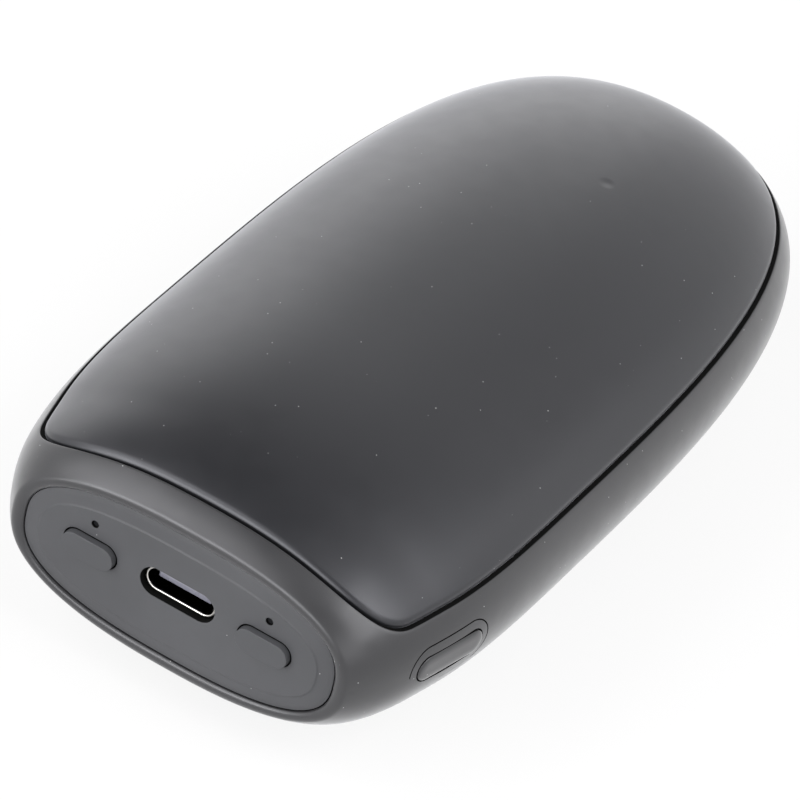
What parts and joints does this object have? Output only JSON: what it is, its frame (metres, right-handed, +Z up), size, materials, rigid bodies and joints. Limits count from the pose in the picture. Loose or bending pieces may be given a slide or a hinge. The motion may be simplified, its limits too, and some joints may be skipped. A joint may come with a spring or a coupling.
{
  "type": "rechargeable hand warmer",
  "caption": "Pebble-shaped rechargeable hand warmer: metal covers on a moulded frame, a charging socket with press buttons at one end and a side button.",
  "frame": {"origin": "centre of the bounding box in X and Y, on the plane of the small flat that the underside rests on", "axes": "+Y runs from the socket end to the round end, +Z up through the thickness, +X towards the side with the side button"},
  "size_m": [0.056, 0.1068, 0.0302],
  "materials": {
    "cover": "fine matte black coat",
    "frame": "matte dark grey, slightly grained",
    "panel": "matte dark grey with a sloping edge",
    "gasket": "glued foam ring",
    "button": "matte dark grey",
    "plunger": "pale nylon",
    "switch": "pressed steel case",
    "clear": "clear moulded pipe",
    "lamp": "pale lamp body",
    "socket_metal": "drawn steel",
    "dark_plastic": "moulded black",
    "gold": "gold plated",
    "board": "green board lacquer",
    "coil": "moulded ferrite",
    "bright_metal": "bright metal",
    "pale_plastic": "natural nylon",
    "cell_wrap": "shrunk sleeve",
    "nickel": "nickel strip",
    "inner_plastic": "moulded, unfinished",
    "film": "amber film over etched track",
    "foam": "soft closed-cell foam",
    "red_lead": "insulated lead",
    "black_lead": "insulated lead",
    "pale_lead": "insulated lead"
  },
  "bodies": {
    "housing": {"top_cover": "cover", "bottom_cover": "cover", "frame": "frame", "end_panel": "panel", "panel_gasket": "gasket", "switch_bodies": "switch", "light_pipes": "clear", "status_leds": "lamp", "socket_shell": "socket_metal", "socket_tongue": "dark_plastic", "socket_contacts": "gold", "main_board": "board", "control_chips": "dark_plastic", "power_coil": "coil", "capacitors": "bright_metal", "lead_sockets": "pale_plastic", "battery_cells": "cell_wrap", "cell_straps": "nickel", "battery_cradle": "inner_plastic", "battery_clamps": "inner_plastic", "cradle_screws": "bright_metal", "board_screws": "bright_metal", "top_heater": "film", "bottom_heater": "film", "top_foam": "foam", "bottom_foam": "foam", "thermistors": "dark_plastic", "battery_lead_red": "red_lead", "battery_lead_black": "black_lead", "heater_leads": "pale_lead"},
    "left_button": {"left_button": "button"},
    "right_button": {"right_button": "button"},
    "side_button": {"side_button": "button"},
    "left_plunger": {"left_plunger": "plunger"},
    "right_plunger": {"right_plunger": "plunger"},
    "side_plunger": {"side_plunger": "plunger"}
  },
  "joints": [
    {"name": "left_button_press", "type": "slide", "parent": "housing", "child": "left_button", "axis": [0, 1, 0], "range_m": [0, 0.0005], "stiffness_N_per_m": 4000},
    {"name": "right_button_press", "type": "slide", "parent": "housing", "child": "right_button", "axis": [0, 1, 0], "range_m": [0, 0.0005], "stiffness_N_per_m": 4000},
    {"name": "side_button_press", "type": "slide", "parent": "housing", "child": "side_button", "axis": [-0.98, 0.1988, 0], "range_m": [0, 0.0005], "stiffness_N_per_m": 4000},
    {"name": "left_plunger_press", "type": "slide", "parent": "housing", "child": "left_plunger", "axis": [0, 1, 0], "range_m": [0, 0.0003]},
    {"name": "right_plunger_press", "type": "slide", "parent": "housing", "child": "right_plunger", "axis": [0, 1, 0], "range_m": [0, 0.0003]},
    {"name": "side_plunger_press", "type": "slide", "parent": "housing", "child": "side_plunger", "axis": [-0.98, 0.1988, 0], "range_m": [0, 0.0003]}
  ],
  "couplings": [
    {"joint": "left_plunger_press", "follows": "left_button_press", "ratio": 0.6},
    {"joint": "right_plunger_press", "follows": "right_button_press", "ratio": 0.6},
    {"joint": "side_plunger_press", "follows": "side_button_press", "ratio": 0.6}
  ]
}
